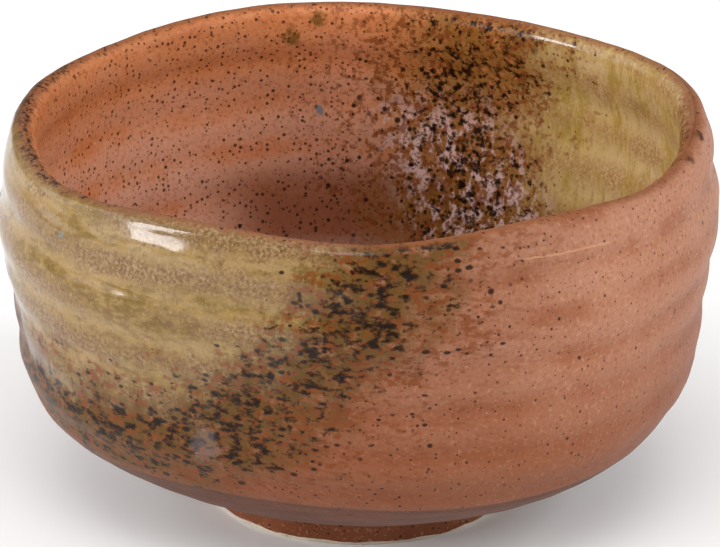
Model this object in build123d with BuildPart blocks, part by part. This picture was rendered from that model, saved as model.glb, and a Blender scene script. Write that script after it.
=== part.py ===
"""A hand-thrown stoneware matcha bowl: clay body, luted foot ring, base glaze and sprayed ash glaze.

Millimetres, +Z up. The origin is the centre of the foot ring, on the surface that the bowl stands on.
"""

from build123d import *

import os
from math import cos, pi, radians, sin

# ---- driving dimensions -------------------------------------------------------------------------
BOWL_HEIGHT = 70.5  # mean height of the lip's crest above the table
BELLY_RADIUS = 62.4  # widest glazed radius, just under the lip
BELLY_BELOW_LIP = 11.5  # how far under the crest the belly lies
LIP_DRAW_IN = 2.0  # how far the lip is drawn in from the belly
WAIST_INSET = 2.2  # the wall's slight waist, measured in from the belly
WAIST_ABOVE_HIP = 17.5
TURN_INSET = 3.2  # where the wall has finished turning up out of the hip, in from the belly
TURN_ABOVE_HIP = 8.3
HIP_INSET = 7.2  # middle of the turn from the underside to the wall, in from the belly
HIP_ABOVE_FOOT = 13.8
SHOULDER_INSET = 15.2  # on the rounded underside, in from the belly
SHOULDER_ABOVE_FOOT = 7.4

LIP_THICKNESS = 4.4  # thicknesses are square to the outside, and take in the base glaze
WALL_THICKNESS = 4.8
TURN_THICKNESS = 5.4
HIP_THICKNESS = 6.4
SHOULDER_THICKNESS = 5.6
FLOOR_THICKNESS = 6.2  # the floor over the foot ring
WELL_RADIUS = 12.0  # flat middle of the floor, where the last of the tea collects

FOOT_HEIGHT = 6.0
FOOT_RADIUS = 26.3  # outside of the foot ring at the table
FOOT_FLARE = 1.4  # how much wider the ring is where it joins the body
FOOT_WALL = 5.2  # thickness of the ring at the table
RECESS_TAPER = 1.2  # how much narrower the recess is at its roof
FOOT_EDGE = 0.7  # bevel on both edges of the standing face
BARE_CLAY = 1.1  # height of the foot wiped bare of glaze at the table
UNDERSIDE_SLOPE = 0.22  # rise over run of the underside where it leaves the foot

BASE_GLAZE = 0.35  # thickness of the red iron glaze
ASH_GLAZE = 0.45  # thickness of the ash glaze over it

# The lip rises and falls, and the wall is squeezed out of round, by gentle waves round the bowl:
# (waves in one turn, height of the wave, bearing of a crest in degrees anticlockwise from +X).
LIP_WAVES = ((1, 1.06, 57), (2, 0.30, -57), (3, 0.54, 52), (4, 0.27, 10), (5, 0.70, 19), (6, 0.45, 0))
WALL_WAVES = ((2, 1.65, -29), (4, 1.15, 24))
LIP_WAVE_REACH = 1.3  # power of height by which the lip's waves die away down to the hip

# The ash was sprayed from one side: it lies outside on that side, and inside on the far one. Each
# patch ends at a flat cut, whose normal has this bearing, looks up by this tilt, and meets the cut
# at this reach from the origin.
OUTER_SPRAY_BEARING = 225.0
OUTER_SPRAY_TILT = 25.0
OUTER_SPRAY_REACH = 64.0
INNER_SPRAY_BEARING = 30.0
INNER_SPRAY_TILT = 12.0
INNER_SPRAY_REACH = 56.0

RING_POINTS = 32  # points on each closed ring of a skin
OUTER_RINGS = 12
LIP_RINGS = 5
INNER_RINGS = 12
CORE_RINGS = 9
CLEAR_OF_LIP = 12.0  # how far the cutting core runs on above the lip

# ---- the section through the glazed wall --------------------------------------------------------
HIP_HEIGHT = FOOT_HEIGHT + HIP_ABOVE_FOOT
BELLY_HEIGHT = BOWL_HEIGHT - BELLY_BELOW_LIP
FLOOR_HEIGHT = FOOT_HEIGHT + FLOOR_THICKNESS
LIP_CENTRE = BOWL_HEIGHT - LIP_THICKNESS / 2
CREST_RADIUS = BELLY_RADIUS - LIP_DRAW_IN - LIP_THICKNESS / 2
FOOT_TOP_RADIUS = FOOT_RADIUS + FOOT_FLARE
BASE_RADIUS = FOOT_TOP_RADIUS + BASE_GLAZE  # the underside starts where the foot's own glaze ends

SHOULDER = (BELLY_RADIUS - SHOULDER_INSET, FOOT_HEIGHT + SHOULDER_ABOVE_FOOT)
HIP = (BELLY_RADIUS - HIP_INSET, HIP_HEIGHT)
TURN = (BELLY_RADIUS - TURN_INSET, HIP_HEIGHT + TURN_ABOVE_HIP)
WAIST = (BELLY_RADIUS - WAIST_INSET, HIP_HEIGHT + WAIST_ABOVE_HIP)
BELLY = (BELLY_RADIUS, BELLY_HEIGHT)


with BuildLine() as outer_section:
    Spline(
        (BASE_RADIUS, FOOT_HEIGHT),
        SHOULDER,
        HIP,
        TURN,
        WAIST,
        BELLY,
        (CREST_RADIUS + LIP_THICKNESS / 2, LIP_CENTRE),
        tangents=((1, UNDERSIDE_SLOPE), (0, 1)),
    )


def through_wall(place, distance):
    """The point this far in from a place on the outside, square to the wall."""
    outside = outer_section.edge()
    along = outside.tangent_at(outside.param_at_point(place))
    return (place[0] - along.Y * distance, place[1] + along.X * distance)


with BuildLine() as lip_section:
    CenterArc((CREST_RADIUS, LIP_CENTRE), LIP_THICKNESS / 2, 0, 180)

with BuildLine() as inner_section:
    Spline(
        (CREST_RADIUS - LIP_THICKNESS / 2, LIP_CENTRE),
        through_wall(BELLY, WALL_THICKNESS),
        through_wall(WAIST, WALL_THICKNESS),
        through_wall(TURN, TURN_THICKNESS),
        through_wall(HIP, HIP_THICKNESS),
        through_wall(SHOULDER, SHOULDER_THICKNESS),
        (WELL_RADIUS, FLOOR_HEIGHT),
        tangents=((0, -1), (-1, 0)),
    )

# The core runs through the middle of the clay, so it parts the inner glaze from the outer.
with BuildLine() as core_section:
    Spline(
        (WELL_RADIUS, FOOT_HEIGHT + FLOOR_THICKNESS / 2),
        through_wall(SHOULDER, SHOULDER_THICKNESS / 2),
        through_wall(HIP, HIP_THICKNESS / 2),
        through_wall(TURN, TURN_THICKNESS / 2),
        through_wall(WAIST, WALL_THICKNESS / 2),
        through_wall(BELLY, WALL_THICKNESS / 2),
        (CREST_RADIUS, BOWL_HEIGHT),
        tangents=((1, 0), (0, 1)),
    )


# ---- skins: closed rings placed along the section -----------------------------------------------
def wave_sum(waves, turn):
    """The sum of some waves at an angle round the bowl, in radians."""
    return sum(size * cos(count * (turn - radians(crest))) for count, size, crest in waves)


def squeeze(height):
    """How much of the wall's out-of-round reaches this height: none at the foot, all from the hip."""
    share = min(1.0, max(0.0, (height - FOOT_HEIGHT) / HIP_ABOVE_FOOT))
    return share * share * (3 - 2 * share)


def ring(radius, height, wavy=True):
    """One closed ring round the bowl, which rises and falls with the lip if it is wavy."""
    rise = max(0.0, (height - HIP_HEIGHT) / (BOWL_HEIGHT - HIP_HEIGHT)) ** LIP_WAVE_REACH
    points = []
    for step in range(RING_POINTS):
        turn = 2 * pi * step / RING_POINTS
        reach = radius + squeeze(height) * wave_sum(WALL_WAVES, turn)
        lift = rise * wave_sum(LIP_WAVES, turn) if wavy else 0.0
        points.append((reach * cos(turn), reach * sin(turn), height + lift))
    with BuildLine() as line:
        Spline(*points, periodic=True)
    return line.wire()


def section_stations():
    """(place, outward normal) along the section, from the foot over the lip to the well."""
    stations = []
    for section, rings in ((outer_section, OUTER_RINGS), (lip_section, LIP_RINGS), (inner_section, INNER_RINGS)):
        line = section.wire()
        first = 0 if section is outer_section else 1
        for step in range(first, rings + 1):
            along = line % (step / rings)
            stations.append((line @ (step / rings), Vector(along.Y, -along.X)))
    return stations


def skinned_bowl(raised):
    """The whole bowl as one solid, with its surface raised by this much above the base glaze."""
    (base, base_normal), *stations = section_stations()
    rings = [ring(base.X + raised / base_normal.X, FOOT_HEIGHT)]
    for place, normal in stations:
        rings.append(ring(place.X + raised * normal.X, place.Y + raised * normal.Y))
    return Solid.make_loft(rings)


def spray_cut(bearing, tilt, reach):
    """The plane that a sprayed patch ends at, which looks towards the patch."""
    bearing = radians(bearing)
    tilt = radians(tilt)
    normal = Vector(cos(bearing) * cos(tilt), sin(bearing) * cos(tilt), sin(tilt))
    return Plane(origin=normal * reach, z_dir=normal)


clay_skin = skinned_bowl(-BASE_GLAZE)
glaze_skin = skinned_bowl(0.0)
ash_skin = skinned_bowl(ASH_GLAZE)

core_line = core_section.wire()
core_places = [core_line @ (step / CORE_RINGS) for step in range(CORE_RINGS + 1)]
core_rings = [ring(place.X, place.Y) for place in core_places]
core_rings.append(ring(CREST_RADIUS, BOWL_HEIGHT + CLEAR_OF_LIP, wavy=False))
core = Solid.make_loft(core_rings)

# ---- the clay -----------------------------------------------------------------------------------
with BuildPart() as bowl_body:
    add(clay_skin)


def foot_side(height):
    """Radius of the foot ring's outside at a height."""
    return FOOT_RADIUS + FOOT_FLARE * height / FOOT_HEIGHT


def recess_side(height):
    """Radius of the recess inside the foot ring at a height."""
    return FOOT_RADIUS - FOOT_WALL - RECESS_TAPER * height / FOOT_HEIGHT


with BuildPart() as foot_ring:
    with BuildSketch(Plane.XZ) as foot_section:
        with BuildLine():
            Polyline(
                (recess_side(0), 0),
                (foot_side(0), 0),
                (foot_side(FOOT_HEIGHT), FOOT_HEIGHT),
                (recess_side(FOOT_HEIGHT), FOOT_HEIGHT),
                close=True,
            )
        make_face()
        chamfer(foot_section.vertices().group_by(Axis.Z)[0], FOOT_EDGE)
    revolve(axis=Axis.Z)

# ---- the red iron glaze -------------------------------------------------------------------------
with BuildPart() as outer_base_glaze:
    add(glaze_skin)
    add(clay_skin, mode=Mode.SUBTRACT)
    add(core, mode=Mode.SUBTRACT)

with BuildPart() as inner_base_glaze:
    add(glaze_skin)
    add(clay_skin, mode=Mode.SUBTRACT)
    add(core, mode=Mode.INTERSECT)

with BuildPart() as foot_glaze:
    with BuildSketch(Plane.XZ):
        with BuildLine():
            Polyline(
                (foot_side(BARE_CLAY), BARE_CLAY),
                (foot_side(BARE_CLAY) + BASE_GLAZE, BARE_CLAY),
                (foot_side(FOOT_HEIGHT) + BASE_GLAZE, FOOT_HEIGHT),
                (foot_side(FOOT_HEIGHT), FOOT_HEIGHT),
                close=True,
            )
        make_face()
    revolve(axis=Axis.Z)

with BuildPart() as recess_glaze:
    with BuildSketch(Plane.XZ):
        with BuildLine():
            Polyline(
                (0, FOOT_HEIGHT),
                (0, FOOT_HEIGHT - BASE_GLAZE),
                (recess_side(FOOT_HEIGHT) - BASE_GLAZE, FOOT_HEIGHT - BASE_GLAZE),
                (recess_side(BARE_CLAY) - BASE_GLAZE, BARE_CLAY),
                (recess_side(BARE_CLAY), BARE_CLAY),
                (recess_side(FOOT_HEIGHT), FOOT_HEIGHT),
                close=True,
            )
        make_face()
    revolve(axis=Axis.Z)

# ---- the sprayed ash glaze ----------------------------------------------------------------------
with BuildPart() as outer_ash_glaze:
    add(ash_skin)
    add(glaze_skin, mode=Mode.SUBTRACT)
    add(core, mode=Mode.SUBTRACT)
    split(bisect_by=spray_cut(OUTER_SPRAY_BEARING, OUTER_SPRAY_TILT, OUTER_SPRAY_REACH), keep=Keep.TOP)

with BuildPart() as inner_ash_glaze:
    add(ash_skin)
    add(glaze_skin, mode=Mode.SUBTRACT)
    add(core, mode=Mode.INTERSECT)
    split(bisect_by=spray_cut(INNER_SPRAY_BEARING, INNER_SPRAY_TILT, INNER_SPRAY_REACH), keep=Keep.TOP)

# ---- labels and files ---------------------------------------------------------------------------
os.makedirs("parts", exist_ok=True)

bowl_body.part.label = "bowl_body"
export_step(bowl_body.part, "parts/bowl_body.step")

foot_ring.part.label = "foot_ring"
export_step(foot_ring.part, "parts/foot_ring.step")

outer_base_glaze.part.label = "outer_base_glaze"
export_step(outer_base_glaze.part, "parts/outer_base_glaze.step")

inner_base_glaze.part.label = "inner_base_glaze"
export_step(inner_base_glaze.part, "parts/inner_base_glaze.step")

foot_glaze.part.label = "foot_glaze"
export_step(foot_glaze.part, "parts/foot_glaze.step")

recess_glaze.part.label = "recess_glaze"
export_step(recess_glaze.part, "parts/recess_glaze.step")

outer_ash_glaze.part.label = "outer_ash_glaze"
export_step(outer_ash_glaze.part, "parts/outer_ash_glaze.step")

inner_ash_glaze.part.label = "inner_ash_glaze"
export_step(inner_ash_glaze.part, "parts/inner_ash_glaze.step")
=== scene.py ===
# %% [markdown]
# A matcha bowl, glazed in Blender
#
# The real object is a thrown stoneware bowl on a turned foot. A red iron glaze covers it, and an olive ash
# glaze was sprayed over one side. The clay and the coats of glaze arrive here as plain CAD solids, the right
# size and in the right place. This file gives each of them the surface that hands, a wheel and a kiln leave:
# throwing ridges, a soft lip, pooled and broken glaze, iron specks and a bare standing edge.
#
# We work in metres, in the frame of the CAD model, and name the sizes in millimetres where they are small.

# %% Load the frame
from math import cos, pi, radians, sin

import bpy
import numpy as np
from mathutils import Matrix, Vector, noise


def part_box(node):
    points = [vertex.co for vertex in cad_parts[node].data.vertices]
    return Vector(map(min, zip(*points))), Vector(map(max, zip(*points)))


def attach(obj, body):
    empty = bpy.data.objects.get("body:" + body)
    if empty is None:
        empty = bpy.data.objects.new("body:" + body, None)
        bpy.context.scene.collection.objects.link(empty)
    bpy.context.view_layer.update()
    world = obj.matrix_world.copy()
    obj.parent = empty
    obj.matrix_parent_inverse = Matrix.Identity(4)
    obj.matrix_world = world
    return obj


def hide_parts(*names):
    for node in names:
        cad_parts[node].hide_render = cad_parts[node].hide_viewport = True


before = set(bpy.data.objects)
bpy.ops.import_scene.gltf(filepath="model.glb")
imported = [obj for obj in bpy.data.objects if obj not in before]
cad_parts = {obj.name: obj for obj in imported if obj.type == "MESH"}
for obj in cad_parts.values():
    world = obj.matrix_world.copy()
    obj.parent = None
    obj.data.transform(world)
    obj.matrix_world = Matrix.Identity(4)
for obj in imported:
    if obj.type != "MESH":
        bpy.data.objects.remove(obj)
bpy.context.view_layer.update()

MM = 0.001

# %% [markdown]
# Camera
#
# A long lens from well back keeps the bowl's ellipses calm, as in a catalogue picture. The camera looks down
# by about 22 degrees, so the far inside wall shows above the near lip. We aim it by a direction vector rather
# than by typing angles, because to_track_quat then works out the turn for us.

# %% Camera
CAMERA_ELEVATION = radians(22.0)
CAMERA_DISTANCE = 1.2
LENS = 337.9  # mm
BOWL_MIDDLE = Vector((0, 0, 0.038))
AIM = Vector((0, 0, 0.0411))

camera_data = bpy.data.cameras.new("camera")
camera_data.lens = LENS
camera_data.sensor_width = 36.0
camera_data.clip_start = 0.05
camera = bpy.data.objects.new("camera", camera_data)
bpy.context.scene.collection.objects.link(camera)
back = Vector((0, -cos(CAMERA_ELEVATION), sin(CAMERA_ELEVATION)))
camera.location = BOWL_MIDDLE + back * CAMERA_DISTANCE
camera.rotation_euler = (AIM - camera.location).to_track_quat("-Z", "Y").to_euler()
bpy.context.scene.camera = camera
bpy.context.scene.view_settings.view_transform = "Standard"

# %% [markdown]
# Working by hand, in code
#
# An operator acts on whatever is selected, so every step starts by choosing one object and nothing else.
# These helpers do that choosing, apply a modifier as the Apply button would, and select faces by a test on
# their centres.

# %% Helpers for operators


def pick(piece):
    """Selects one piece and makes it active, in object mode."""
    if bpy.context.object and bpy.context.object.mode != "OBJECT":
        bpy.ops.object.mode_set(mode="OBJECT")
    bpy.ops.object.select_all(action="DESELECT")
    piece.select_set(True)
    bpy.context.view_layer.objects.active = piece


def apply_modifier(piece, kind, **settings):
    """Adds a modifier, sets it and applies it."""
    pick(piece)
    modifier = piece.modifiers.new(kind.lower(), kind)
    for key, value in settings.items():
        setattr(modifier, key, value)
    bpy.ops.object.modifier_apply(modifier=modifier.name)


def points_of(piece):
    """The places of a piece's vertices, one row each."""
    places = np.zeros(len(piece.data.vertices) * 3)
    piece.data.vertices.foreach_get("co", places)
    return places.reshape(-1, 3)


def move_points(piece, places):
    piece.data.vertices.foreach_set("co", np.asarray(places, dtype=np.float32).ravel())
    piece.data.update()


def copy_of(piece, name):
    """A copy with its own mesh."""
    pick(piece)
    bpy.ops.object.duplicate()
    twin = bpy.context.object
    twin.name = name
    twin.data.name = name
    return twin


def keep_faces(piece, wanted):
    """Deletes the faces that are not wanted, and the loose points they leave."""
    pick(piece)
    bpy.ops.object.mode_set(mode="EDIT")
    bpy.ops.mesh.select_mode(type="FACE")
    bpy.ops.mesh.select_all(action="DESELECT")
    bpy.ops.object.mode_set(mode="OBJECT")
    piece.data.polygons.foreach_set("select", ~np.asarray(wanted, dtype=bool))
    bpy.ops.object.mode_set(mode="EDIT")
    bpy.ops.mesh.delete(type="FACE")
    bpy.ops.object.mode_set(mode="OBJECT")


def face_values(piece, name):
    """The mean of a point attribute over each face."""
    values = read_attribute(piece, name)
    return np.array([values[list(face.vertices)].mean() for face in piece.data.polygons])


def read_attribute(piece, name):
    values = np.zeros(len(piece.data.vertices))
    piece.data.attributes[name].data.foreach_get("value", values)
    return values


def write_attribute(piece, name, values):
    layer = piece.data.attributes.get(name) or piece.data.attributes.new(name, "FLOAT", "POINT")
    layer.data.foreach_set("value", np.asarray(values, dtype=np.float32))


def outward(piece, inside=False):
    """Makes the faces point out of the piece."""
    pick(piece)
    bpy.ops.object.mode_set(mode="EDIT")
    bpy.ops.mesh.select_all(action="SELECT")
    bpy.ops.mesh.normals_make_consistent(inside=inside)
    bpy.ops.object.mode_set(mode="OBJECT")


def report(piece):
    faces = sum(len(face.vertices) - 2 for face in piece.data.polygons)
    size = [round(side / MM, 1) for side in piece.dimensions]
    print(f"{piece.name}: {len(piece.data.vertices)} points, {faces} triangles, {size} mm")


# %% [markdown]
# Reading the clay's shape from the frame
#
# The CAD body is slightly out of round and its lip rises and falls. A spun shape is perfectly round, so we
# measure the body first: at each bearing a ray goes in from outside for the wall's reach, and the highest
# point near that bearing gives the lip. A few Fourier terms turn the readings into smooth functions.

# %% Measure the body
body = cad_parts["bowl_body"]
foot_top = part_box("foot_ring")[1].z
BEARINGS = 72
FOURIER_TERMS = 8


def smooth_round(values):
    """A smooth function of bearing through evenly spaced readings."""
    terms = np.fft.rfft(values)[:FOURIER_TERMS] / len(values)

    def at(bearing):
        total = np.full_like(np.asarray(bearing, dtype=float), terms[0].real)
        for count in range(1, len(terms)):
            total = total + 2 * (terms[count] * np.exp(1j * count * np.asarray(bearing))).real
        return total

    return at


body_places = points_of(body)
body_bearings = np.arctan2(body_places[:, 1], body_places[:, 0])
bearings = np.linspace(0, 2 * pi, BEARINGS, endpoint=False)
crest_readings = []
reach_readings = []
BELLY_HEIGHT = 0.055
for bearing in bearings:
    turned = np.angle(np.exp(1j * (body_bearings - bearing)))
    crest_readings.append(body_places[np.abs(turned) < pi / BEARINGS, 2].max())
    side = Vector((cos(bearing), sin(bearing), 0))
    start = side * 0.1 + Vector((0, 0, BELLY_HEIGHT))
    hit, place, *rest = body.ray_cast(start, -side)
    reach_readings.append(place.to_2d().length)
crest_at = smooth_round(crest_readings)
reach_at = smooth_round(reach_readings)
mean_crest = float(np.mean(crest_readings))
mean_reach = float(np.mean(reach_readings))
print(f"lip {min(crest_readings) / MM:.1f} to {max(crest_readings) / MM:.1f} mm, "
      f"wall reach {min(reach_readings) / MM:.1f} to {max(reach_readings) / MM:.1f} mm")

# %% [markdown]
# The skin of the bowl
#
# A potter pulls the wall up from the base, over the lip, and the hollow follows from the same movement. We do
# the same with one point: it is extruded along the section from the foot, over the lip and down to the well,
# and the line is then spun once round. A subdivision surface rounds the spin into fine even quads. Sculpting
# would reach this shape too, but a spin keeps rows and columns, and those carry the ridges cleanly.

# %% The section, as a potter would sketch it (radius and height in millimetres)
OUTSIDE = [
    (27.4, 6.0), (32.5, 7.0), (37.8, 8.7), (43.2, 11.2), (48.4, 14.1), (52.9, 17.6), (56.3, 21.7),
    (58.5, 26.6), (59.7, 32.2), (60.4, 38.0), (61.4, 44.0), (62.3, 50.0), (62.7, 55.5), (62.2, 60.0),
    (61.1, 64.0), (60.4, 67.0), (60.1, 69.2),
]
LIP = [(59.4, 70.4), (58.2, 70.9), (57.0, 70.4), (56.2, 69.2)]
INSIDE = [
    (56.1, 67.0), (56.6, 63.5), (57.6, 59.0), (57.9, 54.0), (57.4, 49.0), (56.4, 43.0), (55.4, 37.0),
    (54.4, 31.5), (52.0, 26.4), (48.2, 21.8), (43.7, 17.7), (39.0, 14.4), (34.0, 12.9), (28.0, 12.3),
    (21.0, 12.2), (11.0, 12.2), (0.0, 12.2),
]
SPIN_STEPS = 40
SMOOTHING_LEVELS = 3
CLEARANCE = 1.0 * MM  # the rough skin starts a little proud of the clay
GLAZE = 0.35 * MM  # thickness of the red glaze

section = OUTSIDE + LIP + INSIDE
crest_row = len(OUTSIDE) + 1
bpy.ops.object.select_all(action="DESELECT")
bpy.ops.mesh.primitive_plane_add(size=0.001, location=(section[0][0] * MM, 0, section[0][1] * MM))
skin = bpy.context.object
skin.name = "skin"
bpy.ops.object.transform_apply(location=True)
bpy.ops.object.mode_set(mode="EDIT")
bpy.ops.mesh.select_all(action="SELECT")
bpy.ops.mesh.merge(type="CENTER")
for (radius, height), (next_radius, next_height) in zip(section, section[1:]):
    step = ((next_radius - radius) * MM, 0, (next_height - height) * MM)
    bpy.ops.mesh.extrude_region_move(TRANSFORM_OT_translate={"value": step})
bpy.ops.object.mode_set(mode="OBJECT")

# Each point remembers how far along the section it lies, with 0 on the lip's crest.
write_attribute(skin, "along", np.arange(len(section)) - crest_row)
pick(skin)
bpy.ops.object.mode_set(mode="EDIT")
bpy.ops.mesh.select_all(action="SELECT")
bpy.ops.mesh.spin(steps=SPIN_STEPS, angle=2 * pi, center=(0, 0, 0), axis=(0, 0, 1))
bpy.ops.mesh.select_all(action="SELECT")
bpy.ops.mesh.remove_doubles(threshold=0.01 * MM)
bpy.ops.object.mode_set(mode="OBJECT")
outward(skin)
apply_modifier(skin, "SUBSURF", levels=SMOOTHING_LEVELS, render_levels=SMOOTHING_LEVELS,
               boundary_smooth="PRESERVE_CORNERS")
report(skin)

# %% [markdown]
# Out of round, with a waving lip
#
# The spun skin takes the readings of the body: it is pushed out by the wall's reach and lifted by the lip's
# waves. A Shrinkwrap then settles it onto the clay, one coat of glaze above it, and a light Smooth takes the
# facets of the CAD mesh away.

# %% Settle the skin on the clay
HIP_HEIGHT = 20 * MM


def ease(share):
    share = np.clip(share, 0, 1)
    return share * share * (3 - 2 * share)


places = points_of(skin)
radius = np.hypot(places[:, 0], places[:, 1])
bearing = np.arctan2(places[:, 1], places[:, 0])
height = places[:, 2]
squeeze = ease((height - foot_top) / (HIP_HEIGHT - foot_top))
rise = np.clip((height - HIP_HEIGHT) / (mean_crest - HIP_HEIGHT), 0, None) ** 1.3
radius = radius + squeeze * (reach_at(bearing) - mean_reach)
height = height + rise * (crest_at(bearing) - mean_crest)
move_points(skin, np.column_stack([radius * np.cos(bearing), radius * np.sin(bearing), height]))
apply_modifier(skin, "DISPLACE", strength=CLEARANCE, mid_level=0.0, direction="NORMAL")
apply_modifier(skin, "SHRINKWRAP", target=body, wrap_method="NEAREST_SURFACEPOINT",
               wrap_mode="ON_SURFACE", offset=GLAZE)
apply_modifier(skin, "SMOOTH", factor=0.5, iterations=4)
report(skin)

# %% [markdown]
# Throwing ridges
#
# Fingers that rise as the wheel turns leave a slow spiral. Its height is a cosine of height plus one turn of
# bearing for each pitch, rounded on top and narrower in the groove. The ridges fade at the lip, which was
# compressed with a leather, and on the underside, which was turned. The field is kept as an attribute too:
# the red glaze gets a painted sheen on the crests and deeper orange in the grooves, and the ash glaze changes
# tone between crest and groove.

# %% Ridge fields
RIDGE_PITCH = 8.3 * MM
RIDGE_HEIGHT = 0.44 * MM
INNER_RIDGE_HEIGHT = 0.30 * MM
LIP_CLEAR = 6.0 * MM
BEAD_DEPTH = 5.5 * MM  # the last, wider ridge lies this far under the lip's crest
BEAD_HALF_WIDTH = 4.5 * MM
BEAD_HEIGHT = 0.60 * MM

places = points_of(skin)
radius = np.hypot(places[:, 0], places[:, 1])
bearing = np.arctan2(places[:, 1], places[:, 0])
height = places[:, 2]
along = read_attribute(skin, "along")


def rough(scale, seed=0.0, stretch=1.0):
    """Smooth noise at each point of the skin, with its features this many millimetres across."""
    return np.array([
        noise.noise(Vector((x / scale / MM + seed, y / scale / MM, z * stretch / scale / MM)))
        for x, y, z in places
    ])


slow = rough(30.0)
broad = rough(14.0, seed=7.0, stretch=2.0)
turns = height / RIDGE_PITCH + bearing / (2 * pi) + 0.16 * slow
ridge = (0.5 + 0.5 * np.cos(2 * pi * turns)) ** 0.8
inner_turns = height / RIDGE_PITCH - bearing / (2 * pi) + 0.5 + 0.2 * slow
inner_ridge = (0.5 + 0.5 * np.cos(2 * pi * inner_turns)) ** 0.8
below_lip = crest_at(bearing) - height
fade_lip = ease((below_lip - LIP_CLEAR * 0.3) / LIP_CLEAR)
fade_base = ease((height - 13 * MM) / (10 * MM))
outside = along < 0
lift = np.where(
    outside,
    RIDGE_HEIGHT * (ridge - 0.5) * fade_lip * fade_base * (0.8 + 0.5 * broad),
    INNER_RIDGE_HEIGHT * (inner_ridge - 0.5) * fade_lip * (0.8 + 0.5 * broad),
)
lift += 0.10 * MM * rough(5.0, seed=3.0, stretch=1.6)
bead = ease(1 - np.abs(below_lip - BEAD_DEPTH) / BEAD_HALF_WIDTH)
lift += np.where(outside, BEAD_HEIGHT * bead, 0)
write_attribute(skin, "crest", np.where(outside, ridge, inner_ridge))


def push(piece, distances, name):
    """Moves points along their normals: by a weight from 0 to 1 times a span, and then all by the lowest."""
    low, high = float(distances.min()), float(distances.max())
    group = piece.vertex_groups.new(name=name)
    for index, weight in enumerate((distances - low) / (high - low)):
        group.add([index], float(weight), "REPLACE")
    apply_modifier(piece, "DISPLACE", strength=low, mid_level=0.0, direction="NORMAL")
    apply_modifier(piece, "DISPLACE", strength=high - low, mid_level=0.0, direction="NORMAL",
                   vertex_group=name)
    print(f"{piece.name} pushed by {low / MM:.2f} to {high / MM:.2f} mm")


push(skin, lift, "lift")

# %% [markdown]
# Clay and coats
#
# On the bench the bowl would come apart as clay under coats of glaze, so each coat is a closed shell of its
# own. The skin is parted at the lip's crest, where the poured inside meets the dipped outside, and Solidify
# gives each half the thickness of the glaze, inwards. The clay body is the same skin drawn in by one coat and
# closed underneath.

# %% Coats of red glaze
along_faces = face_values(skin, "along")


def coat(name, wanted, thickness):
    """A closed shell of glaze, made from part of the skin."""
    shell = copy_of(skin, name)
    keep_faces(shell, wanted)
    apply_modifier(shell, "SOLIDIFY", thickness=thickness, offset=-1.0, use_rim=True,
                   use_even_offset=True, use_quality_normals=True)
    report(shell)
    return shell


outer_red = coat("outer_red_glaze", along_faces < 0, GLAZE)
inner_red = coat("inner_red_glaze", along_faces > 0, GLAZE)

# %% The clay under them
clay = copy_of(skin, "thrown_clay")
apply_modifier(clay, "DISPLACE", strength=-GLAZE, mid_level=0.0, direction="NORMAL")
pick(clay)
bpy.ops.object.mode_set(mode="EDIT")
bpy.ops.mesh.select_mode(type="EDGE")
bpy.ops.mesh.select_all(action="DESELECT")
bpy.ops.mesh.select_non_manifold()
bpy.ops.mesh.edge_face_add()
bpy.ops.object.mode_set(mode="OBJECT")
report(clay)

# %% [markdown]
# The sprayed ash glaze
#
# A spray gun held on one side leaves most glaze where the wall faces it. Its reach is a flat cut through the
# bowl: a point's distance past that cut says how much glaze it caught. The same number drives the thickness
# here and the colour later. Where the coat runs out it sinks just under the red glaze, so no hard edge shows.

# %% Spray fields
ASH = 0.45 * MM
OUTER_SPRAY = {"bearing": 225.0, "tilt": 25.0, "reach": 65.5}
INNER_SPRAY = {"bearing": 30.0, "tilt": 12.0, "reach": 58.0}
OUTER_RUN_HEIGHT = 31.5  # mm, where the outer coat's runs stop above the table
SINK = 0.06 * MM
FEATHER = 9.0  # mm of reach over which the coat thins out


def spray_normal(spray):
    bearing, tilt = radians(spray["bearing"]), radians(spray["tilt"])
    return Vector((cos(bearing) * cos(tilt), sin(bearing) * cos(tilt), sin(tilt)))


def sprayed(spray, low_height=None):
    """Millimetres past the spray's cut, at each point of the skin."""
    past = places @ np.array(spray_normal(spray)) / MM - spray["reach"]
    if low_height is not None:
        past = np.minimum(past, (places[:, 2] / MM - low_height) * 0.6)
    return past


def ash_coat(name, past, side, side_faces):
    """The ash glaze on one side of the wall: a closed shell that thins out and sinks at its edge."""
    shell = copy_of(skin, name)
    share = ease((past + FEATHER * 0.5) / FEATHER) * (0.85 + 0.3 * broad)
    thick = np.where(side, share * (ASH + SINK) - SINK, -SINK)
    push(shell, thick, "ash")
    wet = np.array([past[list(face.vertices)].max() for face in shell.data.polygons]) > -FEATHER
    keep_faces(shell, wet & side_faces)
    apply_modifier(shell, "SOLIDIFY", thickness=ASH, offset=-1.0, use_rim=True)
    report(shell)
    return shell


places = points_of(skin)
outer_ash = ash_coat("outer_olive_glaze", sprayed(OUTER_SPRAY, OUTER_RUN_HEIGHT), along <= 0, along_faces < 0)
inner_ash = ash_coat("inner_olive_glaze", sprayed(INNER_SPRAY), along >= 0, along_faces > 0)

# %% [markdown]
# The foot
#
# The foot ring is turned from clay once the bowl is leather hard, so its sides are straight with softened
# edges. It is spun from a short section. The glaze outside and inside it is wiped off just above the table,
# and the wiping leaves a line that wanders a little.

# %% Foot, and the glaze on it
FOOT_STEPS = 180
BARE_CLAY = 0.9 * MM
foot_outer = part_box("foot_ring")[1].x  # the flared top
FOOT_FLARE = 1.4 * MM
RECESS_TAPER = 1.2 * MM
FOOT_WALL = 5.2 * MM
foot_radius = foot_outer - FOOT_FLARE
recess_radius = foot_radius - FOOT_WALL


def foot_side(height):
    return foot_radius + FOOT_FLARE * height / foot_top


def recess_side(height):
    return recess_radius - RECESS_TAPER * height / foot_top


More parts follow.
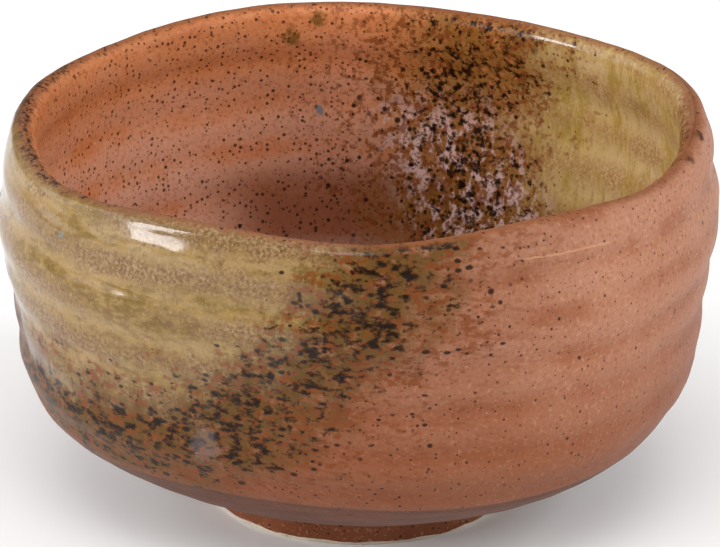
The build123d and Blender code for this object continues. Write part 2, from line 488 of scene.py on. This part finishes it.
def spin_section(name, section, steps, close=True):
    """Extrudes one point along a section of (radius, height) in metres and spins the line round Z."""
    bpy.ops.object.select_all(action="DESELECT")
    bpy.ops.mesh.primitive_plane_add(size=0.0001, location=(section[0][0], 0, section[0][1]))
    piece = bpy.context.object
    piece.name = name
    piece.data.name = name
    bpy.ops.object.transform_apply(location=True)
    bpy.ops.object.mode_set(mode="EDIT")
    bpy.ops.mesh.select_mode(type="VERT")
    bpy.ops.mesh.select_all(action="SELECT")
    bpy.ops.mesh.merge(type="CENTER")
    stops = list(section) + ([section[0]] if close else [])
    for (radius, height), (next_radius, next_height) in zip(stops, stops[1:]):
        step = (next_radius - radius, 0, next_height - height)
        bpy.ops.mesh.extrude_region_move(TRANSFORM_OT_translate={"value": step})
    bpy.ops.mesh.select_all(action="SELECT")
    bpy.ops.mesh.remove_doubles(threshold=0.001 * MM)
    bpy.ops.mesh.select_all(action="SELECT")
    bpy.ops.mesh.spin(steps=steps, angle=2 * pi, center=(0, 0, 0), axis=(0, 0, 1))
    bpy.ops.mesh.select_all(action="SELECT")
    bpy.ops.mesh.remove_doubles(threshold=0.005 * MM)
    bpy.ops.mesh.select_all(action="SELECT")
    bpy.ops.mesh.normals_make_consistent(inside=False)
    bpy.ops.object.mode_set(mode="OBJECT")
    return piece


EDGE = 0.55 * MM
foot = spin_section("turned_foot", [
    (recess_side(0) + EDGE, 0), (foot_side(0) - EDGE, 0), (foot_side(0) - 0.15 * EDGE, 0.3 * EDGE),
    (foot_side(EDGE), EDGE), (foot_side(0.5 * foot_top), 0.5 * foot_top), (foot_side(foot_top), foot_top),
    (recess_side(foot_top), foot_top), (recess_side(0.5 * foot_top), 0.5 * foot_top),
    (recess_side(EDGE), EDGE), (recess_side(0) + 0.15 * EDGE, 0.3 * EDGE),
], FOOT_STEPS)
report(foot)


def ringed(start, end, count, side, out):
    """Points up or down one side of the foot, this far out from the clay."""
    return [(side(start + (end - start) * n / count) + out, start + (end - start) * n / count)
            for n in range(count + 1)]


foot_red = spin_section(
    "foot_red_glaze",
    ringed(BARE_CLAY, foot_top, 8, foot_side, GLAZE) + ringed(foot_top, BARE_CLAY, 8, foot_side, -0.02 * MM),
    FOOT_STEPS)
recess_red = spin_section(
    "recess_red_glaze",
    [(0, foot_top)] + ringed(foot_top, BARE_CLAY, 8, recess_side, 0.02 * MM)
    + ringed(BARE_CLAY, foot_top - GLAZE, 8, recess_side, -GLAZE) + [(0, foot_top - GLAZE)],
    FOOT_STEPS, close=False)


def wander(piece, low_height, reach, size):
    """Lifts the lower edge of a coat on the foot up and down, so that it looks wiped by hand."""
    moved = points_of(piece)
    for row in moved:
        share = max(0.0, 1 - (row[2] - low_height) / reach)
        turn = Vector((row[0], row[1], 0)) / (4 * MM)
        row[2] += size * share * (noise.noise(turn) + 0.5 * noise.noise(turn * 3))
    move_points(piece, moved)


wander(foot_red, BARE_CLAY, 2.5 * MM, 0.35 * MM)
wander(recess_red, BARE_CLAY, 2.5 * MM, 0.35 * MM)
report(foot_red)
report(recess_red)

# %% Smooth shading, and the skin has done its work
for piece in (outer_red, inner_red, outer_ash, inner_ash, clay, foot, foot_red, recess_red):
    pick(piece)
    bpy.ops.object.shade_smooth_by_angle(angle=radians(40))
bpy.data.objects.remove(skin)

# %% [markdown]
# Nodes by the line
#
# A glaze is a long sum of small patterns, so we write the node tree as ordinary sums. Each helper below adds
# one node to the tree being built and returns its output. Patterns read Object coordinates in millimetres,
# so one unit in every texture is one millimetre on the bowl.

# %% Helpers for materials


SPECULAR_LEVEL = 0.13
COAT_ROUGHNESS = 0.06
COAT_IOR = 1.5


class Tree:
    """One node tree, with a method for each kind of node it uses."""

    def __init__(self, name):
        self.material = bpy.data.materials.new(name)
        self.material.use_nodes = True
        self.nodes = self.material.node_tree.nodes
        self.links = self.material.node_tree.links
        self.nodes.clear()
        coordinates = self.nodes.new("ShaderNodeTexCoord")
        scale = self.nodes.new("ShaderNodeVectorMath")
        scale.operation = "SCALE"
        scale.inputs["Scale"].default_value = 1 / MM
        self.links.new(coordinates.outputs["Object"], scale.inputs[0])
        self.place = scale.outputs[0]
        parts = self.nodes.new("ShaderNodeSeparateXYZ")
        self.links.new(self.place, parts.inputs[0])
        self.x, self.y, self.z = parts.outputs
        self.bearing = self.math("ARCTAN2", self.y, self.x)

    def put(self, value, socket):
        if isinstance(value, bpy.types.NodeSocket):
            self.links.new(value, socket)
        elif isinstance(value, tuple) and len(value) == 3 and socket.type == "RGBA":
            socket.default_value = (*value, 1.0)
        else:
            socket.default_value = value

    def math(self, operation, first, second=0.0, third=0.0, clamp=False):
        node = self.nodes.new("ShaderNodeMath")
        node.operation = operation
        node.use_clamp = clamp
        for value, socket in zip((first, second, third), node.inputs):
            self.put(value, socket)
        return node.outputs[0]

    def add(self, first, *rest):
        for value in rest:
            first = self.math("ADD", first, value)
        return first

    def times(self, first, *rest):
        for value in rest:
            first = self.math("MULTIPLY", first, value)
        return first

    def minus(self, first, second):
        return self.math("SUBTRACT", first, second)

    def step(self, value, low, high):
        """0 below low and 1 above high; falls instead of rising where high is less than low."""
        node = self.nodes.new("ShaderNodeMapRange")
        node.interpolation_type = "SMOOTHSTEP"
        fixed = not any(isinstance(end, bpy.types.NodeSocket) for end in (low, high))
        flipped = fixed and low > high
        if flipped:
            low, high = high, low
        self.put(value, node.inputs["Value"])
        self.put(low, node.inputs["From Min"])
        self.put(high, node.inputs["From Max"])
        self.put(1.0 if flipped else 0.0, node.inputs["To Min"])
        self.put(0.0 if flipped else 1.0, node.inputs["To Max"])
        return node.outputs["Result"]

    def stretched(self, across, up, lean=0.0):
        """The place with features drawn out round the wall (small across) or up it (small up)."""
        height = self.times(self.z, up)
        if lean:
            height = self.add(height, self.times(self.x, lean))
        joined = self.nodes.new("ShaderNodeCombineXYZ")
        self.put(self.times(self.x, across), joined.inputs[0])
        self.put(self.times(self.y, across), joined.inputs[1])
        self.put(height, joined.inputs[2])
        return joined.outputs[0]

    def noise(self, size, detail=2.0, roughness=0.5, place=None, shift=0.0):
        """Noise from about 0 to 1, with features this many millimetres across."""
        node = self.nodes.new("ShaderNodeTexNoise")
        node.noise_dimensions = "4D" if shift else "3D"
        self.put(self.place if place is None else place, node.inputs["Vector"])
        if shift:
            self.put(shift, node.inputs["W"])
        self.put(1 / size, node.inputs["Scale"])
        self.put(detail, node.inputs["Detail"])
        self.put(roughness, node.inputs["Roughness"])
        return node.outputs["Fac"]

    def dots(self, spacing, least, most, density, place=None, shift=0.0):
        """Round spots of uneven size, one at most in each cell of this spacing: 1 in a spot, else 0."""
        node = self.nodes.new("ShaderNodeTexVoronoi")
        node.voronoi_dimensions = "4D" if shift else "3D"
        node.feature = "F1"
        self.put(self.place if place is None else place, node.inputs["Vector"])
        if shift:
            self.put(shift, node.inputs["W"])
        self.put(1 / spacing, node.inputs["Scale"])
        self.put(1.0, node.inputs["Randomness"])
        chance = self.nodes.new("ShaderNodeSeparateColor")
        self.links.new(node.outputs["Color"], chance.inputs[0])
        draw = self.times(self.math("POWER", chance.outputs[0], 2.0), density)
        size = self.add(self.times(draw, (most - least) / spacing), least / spacing)
        return self.minus(1.0, self.step(node.outputs["Distance"], self.times(size, 0.55), size))

    def mix(self, share, first, second):
        node = self.nodes.new("ShaderNodeMix")
        node.data_type = "RGBA"
        node.clamp_factor = True
        self.put(share, node.inputs["Factor"])
        self.put(first, node.inputs["A"])
        self.put(second, node.inputs["B"])
        return node.outputs["Result"]

    def attribute(self, name):
        node = self.nodes.new("ShaderNodeAttribute")
        node.attribute_name = name
        return node.outputs["Fac"]

    def past_cut(self, spray, low_height=None):
        """Millimetres past a spray's cut, as in the shape of the ash coat."""
        node = self.nodes.new("ShaderNodeVectorMath")
        node.operation = "DOT_PRODUCT"
        self.put(self.place, node.inputs[0])
        self.put(tuple(spray_normal(spray)), node.inputs[1])
        past = self.minus(node.outputs["Value"], spray["reach"])
        if low_height is not None:
            above = self.times(self.minus(self.z, low_height), 0.6)
            past = self.math("SMOOTH_MIN", past, above, 3.0)
        return past

    def finish(self, colour, roughness, relief, relief_depth, coat=None):
        """The shader: relief is a height in millimetres."""
        shader = self.nodes.new("ShaderNodeBsdfPrincipled")
        self.put(colour, shader.inputs["Base Color"])
        self.put(roughness, shader.inputs["Roughness"])
        shader.inputs["Specular IOR Level"].default_value = SPECULAR_LEVEL
        if coat is not None:
            self.put(coat, shader.inputs["Coat Weight"])
            shader.inputs["Coat Roughness"].default_value = COAT_ROUGHNESS
            shader.inputs["Coat IOR"].default_value = COAT_IOR
        bump = self.nodes.new("ShaderNodeBump")
        bump.inputs["Strength"].default_value = 1.0
        bump.inputs["Distance"].default_value = relief_depth * MM
        self.put(relief, bump.inputs["Height"])
        self.links.new(bump.outputs["Normal"], shader.inputs["Normal"])
        out = self.nodes.new("ShaderNodeOutputMaterial")
        self.links.new(shader.outputs[0], out.inputs["Surface"])
        return self.material


def tint(red, green, blue):
    """A colour as a painter reads it off a chart, 0 to 255, made linear for the shader."""
    return tuple(
        part / 12.92 if part <= 0.04045 else ((part + 0.055) / 1.055) ** 2.4
        for part in (red / 255, green / 255, blue / 255)
    )


# %% [markdown]
# Red glaze
#
# The red glaze is thin and satin. It is paler and pinker in soft clouds, and a painted sheen makes it pinker
# along the ridges, towards the lip outside and low down inside. It is deeper orange in the hollows, and full
# of iron specks that bled out of the clay. It turns warm brown on the rim, where it is thinnest. All of it is
# one function, used outside, inside and on the foot, so that the glaze agrees with itself wherever two pieces
# meet;
# each place has its own palette, darker outside than inside and darker still on the foot, as painted shade.
# Voronoi cells would give specks of one size, so each cell draws its own.

# %% Red glaze as a function
EMBER = tint(132, 68, 34)
SPARK = tint(196, 148, 112)
IRON = tint(30, 13, 4)
UMBER = tint(46, 20, 8)
SOOT = tint(22, 9, 2)
RIM = tint(128, 76, 44)

# The three palettes are lit and shaded copies of one glaze: outside it is darker than inside, and on the foot
# darker still, as painted shade.
SHADED_OUTSIDE_RED = {"base": tint(142, 86, 58), "rosy": tint(158, 110, 86), "deep": tint(130, 74, 46)}
INSIDE_RED = {"base": tint(186, 116, 74), "rosy": tint(178, 128, 106), "deep": tint(172, 98, 54)}
SHADED_FOOT_RED = {"base": tint(118, 68, 44), "rosy": tint(128, 82, 60), "deep": tint(100, 52, 30)}


def red_glaze(tree, palette, painted_sheen):
    """(colour, grain) of the red glaze; the last argument, from 0 to 1, is a painted sheen that pulls it
    towards rose.
    """
    cloud = tree.noise(13.0, 3.0, 0.6)
    grain = tree.noise(0.75, 3.0, 0.65)
    crest = tree.attribute("crest")
    # Painted sheen: the ridge crests and the last argument pull the colour towards rose.
    bands = tree.add(tree.times(crest, 0.35), tree.times(cloud, 1.1), -0.35)
    rosy = tree.math("ADD", tree.times(bands, 0.8), tree.times(tree.add(painted_sheen, -0.4), 0.9), clamp=True)
    deep = tree.times(tree.step(cloud, 0.6, 0.35), tree.step(crest, 0.8, 0.1), 0.6)
    colour = tree.mix(rosy, palette["base"], palette["rosy"])
    colour = tree.mix(deep, colour, palette["deep"])
    colour = tree.mix(tree.times(tree.step(grain, 0.54, 0.78), 0.55), colour, SPARK)
    colour = tree.mix(tree.times(tree.step(grain, 0.5, 0.28), 0.6), colour, EMBER)
    return colour, grain


def iron_specks(tree, colour, spacing, most, crowd):
    """Specks of iron over a colour: fine ones up to this size, larger ones where crowd rises from 0 to 1."""
    fine = tree.dots(spacing, 0.18, most, 1.0)
    coarse = tree.dots(1.7, 0.05, 0.75, crowd, shift=1.7)
    colour = tree.mix(tree.times(fine, 0.85), colour, UMBER)
    return tree.mix(tree.times(coarse, 0.92), colour, IRON)


def rim(tree):
    """1 on the lip's crest, falling to 0 where the wall begins."""
    distance = tree.math("ABSOLUTE", tree.attribute("along"))
    ragged = tree.times(tree.noise(1.4, 3.0, 0.6), 1.6)
    return tree.step(tree.add(distance, ragged), 2.3, 1.1)


def left_side(tree):
    """1 on the bowl's left, towards -X, and 0 elsewhere."""
    return tree.step(tree.math("ABSOLUTE", tree.bearing), 2.3, 2.8)


def rim_glaze(tree, colour, share, dark):
    """Brown hatching across the rim, laid over a colour; dark from 0 to 1 adds more of it."""
    strokes = tree.noise(0.9, 3.0, 0.7, place=tree.stretched(1.0, 0.35), shift=3.0)
    hatch = tree.add(strokes, tree.times(dark, 0.09))
    colour = tree.mix(tree.times(share, 0.8), colour, RIM)
    return tree.mix(tree.times(share, tree.step(hatch, 0.57, 0.65), 0.9), colour, IRON)


# %% [markdown]
# Ash glaze over it
#
# Where the ash glaze is thick it is olive and runs glossy. Where it thins out it pulls iron from the red
# glaze: first an amber film full of small bubbles, then brown and black spots, then single specks. One field
# orders all of these, the distance past the spray's cut with some noise added, and the noise is drawn out
# along the way the glaze ran. Painting a mask by hand would look as good, but could not be read or changed.

# %% Ash glaze as a function
RUSSET = tint(106, 52, 20)
BARK = tint(50, 27, 8)

# The two palettes are lit and shaded copies of one glaze: outside it is darker than inside, as painted shade.
SHADED_OUTSIDE_ASH = {"base": tint(136, 109, 62), "pale": tint(162, 136, 98), "green": tint(104, 80, 30),
               "dusk": tint(96, 66, 38), "speck": tint(60, 38, 16)}
INSIDE_ASH = {"base": tint(174, 145, 94), "pale": tint(190, 165, 124), "green": tint(146, 120, 54),
              "dusk": tint(140, 104, 62), "speck": tint(108, 72, 36)}


def olive_glaze(tree, palette, patch_place, fine_place):
    """The colour of the full coat: cloudy patches, with finer mottling within them."""
    patch = tree.noise(6.5, 4.0, 0.62, place=patch_place, shift=2.0)
    mottle = tree.noise(1.5, 4.0, 0.68, place=fine_place)
    grit = tree.noise(0.6, 3.0, 0.7)
    crest = tree.attribute("crest")
    colour = tree.mix(tree.step(patch, 0.36, 0.64), palette["green"], palette["pale"])
    colour = tree.mix(tree.step(mottle, 0.30, 0.60), palette["base"], colour)
    greener = tree.times(tree.step(mottle, 0.48, 0.66), tree.step(crest, 0.6, 0.1))
    colour = tree.mix(tree.times(greener, 0.55), colour, palette["green"])
    dusk = tree.step(tree.add(patch, tree.times(mottle, 0.5), tree.times(crest, 0.22)), 0.70, 1.04)
    speckled = tree.times(dusk, tree.add(tree.times(tree.step(grit, 0.38, 0.62), 0.5), 0.5))
    colour = tree.mix(tree.times(speckled, 0.9), colour, palette["dusk"])
    colour = tree.mix(tree.times(tree.step(grit, 0.58, 0.72), 0.4), colour, palette["speck"])
    colour = tree.mix(tree.times(tree.step(grit, 0.44, 0.30), 0.4), colour, palette["pale"])
    pinholes = tree.dots(1.3, 0.06, 0.34, tree.add(tree.times(dusk, 0.6), 0.4), shift=11.0)
    return tree.mix(tree.times(pinholes, 0.7), colour, palette["speck"])


def spray_edge(tree, past, run_place):
    """How far past the ragged edge of the full coat a point lies, in millimetres."""
    wander = tree.times(tree.minus(tree.noise(8.0, 3.0, 0.6), 0.5), 14.0)
    fingers = tree.times(tree.minus(tree.noise(2.2, 3.0, 0.6, place=run_place), 0.5), 9.0)
    return tree.add(past, wander, fingers)


def run_out(tree, edge, reach):
    """(near, far): how much of the broken glaze a point carries, from 0 to 1, close by and further off."""
    near = tree.times(tree.step(edge, -reach, -0.25 * reach), tree.step(edge, 7.0, -1.0))
    far = tree.times(tree.step(edge, -2.3 * reach, -0.5 * reach), tree.step(edge, 12.0, 2.0))
    return near, far


def thin_film(tree, colour, near, film_colour):
    """The coloured film that is left where the ash glaze is too thin to turn olive."""
    film = tree.times(tree.step(tree.noise(2.6, 3.0, 0.6, shift=5.0), 0.24, 0.50), near)
    return tree.mix(tree.times(film, 0.9), colour, film_colour)


def dark_spots(tree, colour, near, far, scatter, spot_place):
    """Russet stains, bubbles, spots and flecks in the broken glaze; scatter spreads the black further."""
    stain = tree.add(tree.noise(1.2, 3.0, 0.6, place=spot_place, shift=7.0), tree.times(far, 0.12))
    russet = tree.step(stain, 0.60, 0.72)
    colour = tree.mix(tree.times(russet, far, 0.8), colour, RUSSET)
    bubble = tree.dots(1.0, 0.14, 0.60, near, shift=9.0)
    colour = tree.mix(tree.times(bubble, 0.75), colour, BARK)
    presence = tree.add(tree.times(near, 0.19), tree.times(far, scatter), -0.26)
    spots = tree.add(tree.noise(1.2, 3.0, 0.6, place=spot_place, shift=4.0), presence)
    colour = tree.mix(tree.times(tree.step(spots, 0.50, 0.60), 0.85), colour, BARK)
    colour = tree.mix(tree.times(tree.step(spots, 0.57, 0.66), 0.95), colour, SOOT)
    flecks = tree.dots(1.15, 0.08, 0.72, far, place=spot_place, shift=13.0)
    return tree.mix(tree.times(flecks, 0.9), colour, SOOT)


# %% [markdown]
# Kiln marks
#
# Noise gives the glaze its crowd of small spots, but a few larger marks make this bowl and no other: a pale
# haze, two blue-grey spots and some dark blots. Each is a ragged ball of colour at a place on the wall.

# %% Kiln marks: the place and size in millimetres, the colour, and how strongly it covers
HAZE = tint(150, 138, 140)
BLUE_GREY = tint(96, 102, 108)
OLIVE_BLOT = tint(92, 62, 14)

RIM_MARKS = (
    ((58.6, -7.5, 70.6, 2.4), SOOT, 0.9),
    ((57.0, -16.5, 70.2, 2.4), SOOT, 0.9),
)
OUTSIDE_MARKS = (
    ((-26.7, -50.2, 29.6, 5.0), HAZE, 0.16),
    ((-50.9, -34.3, 62.0, 1.3), BLUE_GREY, 0.9),
) + RIM_MARKS
INSIDE_MARKS = (
    ((-7.5, 57.3, 50.6, 1.2), BLUE_GREY, 0.9),
    ((33.9, 43.3, 41.3, 1.9), BARK, 0.6),
    ((32.0, 43.3, 67.5, 1.4), BARK, 0.5),
    ((-12.5, 54.5, 65.5, 2.6), OLIVE_BLOT, 0.8),
    ((-7.5, 54.8, 69.5, 2.4), OLIVE_BLOT, 0.8),
) + RIM_MARKS


def kiln_marks(tree, colour, marks):
    """Ragged marks that the kiln left at these places."""
    ragged = tree.times(tree.noise(1.6, 3.0, 0.65, shift=17.0), 2.4)
    for (x, y, z, size), tone, strength in marks:
        node = tree.nodes.new("ShaderNodeVectorMath")
        node.operation = "DISTANCE"
        tree.put(tree.place, node.inputs[0])
        tree.put((x, y, z), node.inputs[1])
        reach = tree.add(tree.math("DIVIDE", node.outputs["Value"], size), ragged)
        colour = tree.mix(tree.times(tree.step(reach, 2.1, 1.5), strength), colour, tone)
    return colour


# %% [markdown]
# The glaze as a whole, outside and inside
#
# The layers go on in the order the potter put them: red glaze, iron specks, ash glaze, the broken glaze at its
# edge, and the worn rim last. A piece of red glaze and the ash glaze over it share one function, so that a
# spot which falls across the edge of the coat carries on unbroken.

# %% Glaze outside
# TURNED is the trimmed band's colour, darkened as painted shade on the underside.
TURNED = tint(72, 40, 25)
TURNED_HEIGHT = 18.8  # mm above the table, below which the wall was trimmed on the wheel
# LOW_RED is used for painted shade on the lower wall, with a thinner glaze there, and for the zone beside the
# ash glaze.
LOW_RED = tint(102, 54, 30)


def scratch(tree, colour):
    """A pale line where a tool or a nail caught the wet glaze, under the lip."""
    height = tree.add(tree.z, tree.times(tree.bearing, 2.6), tree.times(tree.noise(2.0, 2.0, 0.5), 0.5))
    line = tree.step(tree.math("ABSOLUTE", tree.minus(height, 63.85)), 0.24, 0.08)
    span = tree.times(tree.step(tree.bearing, -1.15, -1.08), tree.step(tree.bearing, -0.80, -0.86))
    return tree.mix(tree.times(line, span, 0.4), colour, SPARK)


def outside_glaze(name):
    tree = Tree(name)
    # Painted sheen: the red glaze turns pinker towards the lip.
    colour, grain = red_glaze(tree, SHADED_OUTSIDE_RED, tree.step(tree.z, 10.0, 66.0))
    # Darker towards the bottom: painted shade where less light reaches the lower wall, and a thinner glaze
    # there.
    colour = tree.mix(tree.times(tree.step(tree.z, 50.0, 16.0), 0.55), colour, LOW_RED)
    past = tree.past_cut(OUTER_SPRAY, OUTER_RUN_HEIGHT)
    streak = tree.noise(1.5, 3.0, 0.6, place=tree.stretched(0.14, 1.0, lean=0.2))
    beside = tree.times(tree.step(past, -38.0, -8.0), tree.step(past, 4.0, -2.0))
    colour = tree.mix(tree.times(beside, 0.40), colour, LOW_RED)
    colour = tree.mix(tree.times(tree.step(streak, 0.52, 0.66), beside, 0.5), colour, RUSSET)

    crowd = tree.add(tree.times(tree.step(tree.noise(10.0, 2.0, 0.5, shift=3.0), 0.45, 0.65), 0.5),
                     tree.times(beside, 0.5), 0.30)
    colour = iron_specks(tree, colour, 1.30, 0.36, crowd)
    edge = spray_edge(tree, past, tree.stretched(1.0, 0.45))
    cover = tree.step(edge, -2.0, 3.0)
    # The outside ash palette is darker than the inside one, as painted shade.
    olive = olive_glaze(tree, SHADED_OUTSIDE_ASH, tree.stretched(0.3, 1.15), tree.stretched(0.55, 1.0))
    colour = tree.mix(cover, colour, olive)
    near, far = run_out(tree, edge, 15.0)
    colour = thin_film(tree, colour, near, tint(78, 56, 15))
    colour = dark_spots(tree, colour, near, far, 0.11, tree.stretched(0.62, 1.0))
    colour = kiln_marks(tree, colour, OUTSIDE_MARKS)
    colour = scratch(tree, colour)

    # Below the trimming line the wall is darker: the turned band the wheel left, darkened further as painted
    # shade on the underside.
    turned = tree.step(tree.z, TURNED_HEIGHT + 0.5, TURNED_HEIGHT)
    lines = tree.step(tree.noise(0.9, 2.0, 0.6, place=tree.stretched(0.06, 1.0), shift=19.0), 0.35, 0.65)
    colour = tree.mix(tree.times(turned, tree.add(0.62, tree.times(lines, 0.26))), colour, TURNED)
    colour = rim_glaze(tree, colour, rim(tree), left_side(tree))
    roughness = tree.add(0.47, tree.times(cover, -0.31), tree.times(near, -0.12))
    wave = tree.noise(2.2, 2.0, 0.5, place=tree.stretched(1.0, 0.5), shift=15.0)
    rough = tree.times(grain, tree.add(1.0, tree.times(cover, -0.75)))
    relief = tree.add(rough, tree.times(wave, cover, 0.7))
    return tree.finish(colour, roughness, relief, 0.12, coat=tree.times(cover, 0.4))


# %% Glaze inside
MILK = tint(196, 168, 164)


def inside_glaze(name):
    tree = Tree(name)
    # Painted sheen: the red glaze turns pinker low on the inside wall.
    colour, grain = red_glaze(tree, INSIDE_RED, tree.step(tree.z, 68.0, 40.0))
    past = tree.past_cut(INNER_SPRAY)
    # Painted shade: the inside wall is darkened low down in the well, on the side away from the spray.
    hollow = tree.times(tree.step(tree.z, 46.0, 32.0), tree.step(past, -54.0, -38.0), 0.9)
    colour = tree.mix(hollow, colour, tint(112, 62, 38))
    crowd = tree.add(tree.times(tree.step(tree.noise(10.0, 2.0, 0.5, shift=3.0), 0.42, 0.65), 0.5),
                     tree.times(tree.step(past, -40.0, -15.0), 0.5), 0.35)
    colour = iron_specks(tree, colour, 1.0, 0.46, crowd)

    lean = tree.times(tree.minus(59.0, tree.z), 0.30)
    edge = tree.add(spray_edge(tree, past, tree.stretched(1.0, 0.45)), lean)
    cover = tree.step(edge, -2.0, 3.0)
    olive = olive_glaze(tree, INSIDE_ASH, tree.stretched(0.8, 0.6), tree.stretched(1.0, 0.28))
    colour = tree.mix(cover, colour, olive)
    near, far = run_out(tree, edge, 20.0)
    colour = thin_film(tree, colour, near, tint(122, 82, 34))
    milk = tree.step(tree.noise(1.8, 3.0, 0.65, place=tree.stretched(1.0, 0.6), shift=6.0), 0.46, 0.56)
    milky = tree.times(milk, tree.step(tree.z, 60.0, 44.0), tree.step(past, -22.0, -13.0),
                       tree.step(past, 1.0, -4.0))
    colour = tree.mix(tree.times(milky, 0.85), colour, MILK)
    colour = dark_spots(tree, colour, near, far, 0.085, tree.place)
    colour = kiln_marks(tree, colour, INSIDE_MARKS)
    colour = rim_glaze(tree, colour, rim(tree), left_side(tree))
    roughness = tree.add(0.42, tree.times(cover, -0.22), tree.times(far, -0.16))
    relief = tree.times(grain, tree.add(1.0, tree.times(cover, -0.7)))
    return tree.finish(colour, roughness, relief, 0.10, coat=tree.times(cover, 0.3))


# %% Foot glaze and bare clay
def foot_glaze_finish(name):
    tree = Tree(name)
    # The foot's palette is darker than the wall's, as painted shade under the bowl.
    colour, grain = red_glaze(tree, SHADED_FOOT_RED, 0.3)
    colour = iron_specks(tree, colour, 1.2, 0.45, 0.7)
    return tree.finish(colour, 0.5, grain, 0.10)


def bare_clay(name):
    tree = Tree(name)
    cloud = tree.noise(6.0, 4.0, 0.6)
    grit = tree.noise(0.5, 3.0, 0.7)
    colour = tree.mix(tree.step(cloud, 0.35, 0.65), tint(196, 180, 160), tint(214, 200, 182))
    colour = tree.mix(tree.times(tree.step(grit, 0.6, 0.7), 0.5), colour, tint(150, 128, 106))
    colour = tree.mix(tree.times(tree.dots(1.6, 0.05, 0.4, 1.0), 0.8), colour, tint(90, 66, 50))
    return tree.finish(colour, 0.85, tree.add(grit, tree.times(cloud, 0.8)), 0.12)


def dress(piece, material):
    piece.data.materials.clear()
    piece.data.materials.append(material)


dress(outer_red, outside_glaze("red_glaze_outside"))
dress(outer_ash, outside_glaze("ash_glaze_outside"))
dress(inner_red, inside_glaze("red_glaze_inside"))
dress(inner_ash, inside_glaze("ash_glaze_inside"))
dress(foot_red, foot_glaze_finish("red_glaze_foot"))
dress(recess_red, foot_glaze_finish("red_glaze_recess"))
clay_finish = bare_clay("bare_clay")
dress(clay, clay_finish)
dress(foot, clay_finish)

# %% [markdown]
# Floor and light
#
# The bowl stands on a plain pale floor in a white room. Large soft boxes at both sides model its roundness,
# a small bright one draws the window-shaped highlight on the glossy ash glaze, and one high in front fills
# the hollow.

# %% Floor
bpy.ops.object.select_all(action="DESELECT")
bpy.ops.mesh.primitive_plane_add(size=6.0, location=(0, 0, 0))
floor = bpy.context.object
floor.name = "floor"
floor_tree = Tree("pale_floor")
dress(floor, floor_tree.finish(tint(244, 244, 244), 0.9, 0.0, 0.0))


# %% Lights
def soft_box(name, direction, distance, width, height, power):
    """A rectangular light that faces the bowl from a direction."""
    data = bpy.data.lights.new(name, "AREA")
    data.shape = "RECTANGLE"
    data.size = width
    data.size_y = height
    data.energy = power
    lamp = bpy.data.objects.new(name, data)
    bpy.context.scene.collection.objects.link(lamp)
    away = Vector(direction).normalized()
    lamp.location = BOWL_MIDDLE + away * distance
    lamp.rotation_euler = (-away).to_track_quat("-Z", "Y").to_euler()
    return lamp


def toward(bearing, elevation):
    bearing, elevation = radians(bearing), radians(elevation)
    return (cos(bearing) * cos(elevation), sin(bearing) * cos(elevation), sin(elevation))


LIGHT_DISTANCE = 1.3
soft_box("left_window", toward(206, 17), LIGHT_DISTANCE, 0.40, 0.44, 11.0)
soft_box("left_soft_box", toward(176, 24), LIGHT_DISTANCE, 1.1, 1.0, 6.5)
soft_box("right_soft_box", toward(340, 27), LIGHT_DISTANCE, 0.6, 0.9, 11.0)
soft_box("front_soft_box", toward(270, 52), LIGHT_DISTANCE, 0.8, 0.6, 6.5)


# %% A white room, dimmer to the front and back than at the sides
ROOM_FRONT = 0.15
ROOM_SIDE = 0.42
ROOM_TOP = 0.80

world = bpy.data.worlds.new("studio")
world.use_nodes = True
room = world.node_tree
direction = room.nodes.new("ShaderNodeTexCoord")
axes = room.nodes.new("ShaderNodeSeparateXYZ")
room.links.new(direction.outputs["Generated"], axes.inputs[0])


def room_math(operation, first, second):
    node = room.nodes.new("ShaderNodeMath")
    node.operation = operation
    for value, socket in zip((first, second), node.inputs):
        if isinstance(value, float):
            socket.default_value = value
        else:
            room.links.new(value, socket)
    return node.outputs[0]


sideways = room_math("MULTIPLY", axes.outputs["X"], axes.outputs["X"])
above = room_math("MAXIMUM", axes.outputs["Z"], 0.0)
brightness = room_math("ADD", room_math("MULTIPLY", sideways, ROOM_SIDE - ROOM_FRONT), ROOM_FRONT)
upward = room_math("MULTIPLY", room_math("MULTIPLY", above, above), ROOM_TOP - ROOM_FRONT)
brightness = room_math("ADD", brightness, upward)
room.links.new(brightness, room.nodes["Background"].inputs["Color"])
bpy.context.scene.world = world

# %% [markdown]
# Handing over
# Each piece rides on the bowl's one body and stands for the CAD node it dresses, which is hidden. Each row
# lists the piece, its CAD node and the slot of its finish. Last, the sizes before and after are written out,
# so that they can be compared.

# %% Ride and replace
for piece, node, slot in (
    (clay, "bowl_body", "clay"),
    (foot, "foot_ring", "clay"),
    (outer_red, "outer_base_glaze", "iron_glaze"),
    (inner_red, "inner_base_glaze", "iron_glaze"),
    (foot_red, "foot_glaze", "iron_glaze"),
    (recess_red, "recess_glaze", "iron_glaze"),
    (outer_ash, "outer_ash_glaze", "ash_glaze"),
    (inner_ash, "inner_ash_glaze", "ash_glaze"),
):
    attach(piece, "root")
    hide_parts(node)
